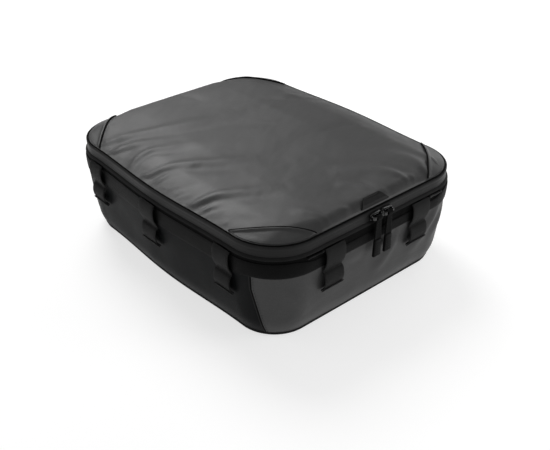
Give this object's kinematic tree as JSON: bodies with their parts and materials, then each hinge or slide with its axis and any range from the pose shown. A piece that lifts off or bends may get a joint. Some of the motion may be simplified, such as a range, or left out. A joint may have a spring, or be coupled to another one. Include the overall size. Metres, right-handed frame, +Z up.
{
  "type": "packing cube",
  "caption": "Structured padded packing cube with a crowned zip-around lid, lash straps round its walls and two zip sliders with hanging pulls.",
  "frame": {"origin": "centre of the base, on the surface that the case stands on", "axes": "+Z up; length along Y, with the zip sliders at the -Y end and the lid's hinge at the +Y end; width along X"},
  "size_m": [0.3014, 0.3609, 0.1198],
  "materials": {
    "coated_fabric": "grey coated nylon, fine grain, soft sheen",
    "side_fabric": "smooth bluish-black coated fabric",
    "foam": "closed-cell foam board",
    "lining": "light woven lining",
    "binding": "folded binding tape",
    "zip_tape": "woven zip tape",
    "coil": "nylon coil",
    "webbing": "satin webbing",
    "strap": "matt coated strap",
    "rubber": "moulded matt rubber",
    "slider_metal": "glossy black plated metal",
    "plastic": "moulded black plastic"
  },
  "bodies": {
    "case": {"base_panel": "side_fabric", "base_foam": "foam", "base_piping": "binding", "case_lining": "lining", "lower_binding": "binding", "lower_zip_tape": "zip_tape", "lower_zip_coil": "coil", "hinge_strip": "zip_tape", "webbing_band": "webbing", "front_wall_panel": "coated_fabric", "front_wall_foam": "foam", "rear_wall_panel": "coated_fabric", "rear_wall_foam": "foam", "left_wall_panel": "side_fabric", "left_wall_foam": "foam", "right_wall_panel": "side_fabric", "right_wall_foam": "foam", "strap_left_front": "strap", "strap_left_middle": "strap", "strap_left_rear": "strap", "strap_right_front": "strap", "strap_right_middle": "strap", "strap_right_rear": "strap", "strap_front_left": "strap", "strap_front_right": "strap", "strap_rear_left": "strap", "strap_rear_right": "strap", "zip_stop_left": "plastic", "strap_bar_left": "plastic", "zip_stop_right": "plastic", "strap_bar_right": "plastic"},
    "lid": {"lid_panel": "coated_fabric", "lid_foam": "foam", "lid_lining": "lining", "lid_piping": "binding", "lid_binding": "binding", "upper_zip_tape": "zip_tape", "upper_zip_coil": "coil", "front_patch": "rubber", "corner_patch_front_left": "coated_fabric", "corner_patch_front_right": "coated_fabric", "corner_patch_rear_left": "coated_fabric", "corner_patch_rear_right": "coated_fabric"},
    "slider_left": {"slider_left": "slider_metal"},
    "pull_left": {"pull_webbing_left": "strap", "pull_end_left": "rubber"},
    "slider_right": {"slider_right": "slider_metal"},
    "pull_right": {"pull_webbing_right": "strap", "pull_end_right": "rubber"}
  },
  "joints": [
    {"name": "lid_hinge", "type": "hinge", "parent": "case", "child": "lid", "pos_m": [0, 0.181, 0.1], "axis": [-1, 0, 0], "range_deg": [0, 193]},
    {"name": "slider_left_slide", "type": "slide", "parent": "case", "child": "slider_left", "axis": [-1, 0, 0], "range_m": [0, 0.0375]},
    {"name": "pull_left_swing", "type": "hinge", "parent": "slider_left", "child": "pull_left", "pos_m": [-0.00455, -0.1786, 0.1032], "axis": [-1, 0, 0], "range_deg": [0, 205]},
    {"name": "slider_right_slide", "type": "slide", "parent": "case", "child": "slider_right", "axis": [1, 0, 0], "range_m": [0, 0.0315]},
    {"name": "pull_right_swing", "type": "hinge", "parent": "slider_right", "child": "pull_right", "pos_m": [0.01055, -0.1786, 0.1032], "axis": [-1, 0, 0], "range_deg": [0, 205]}
  ]
}
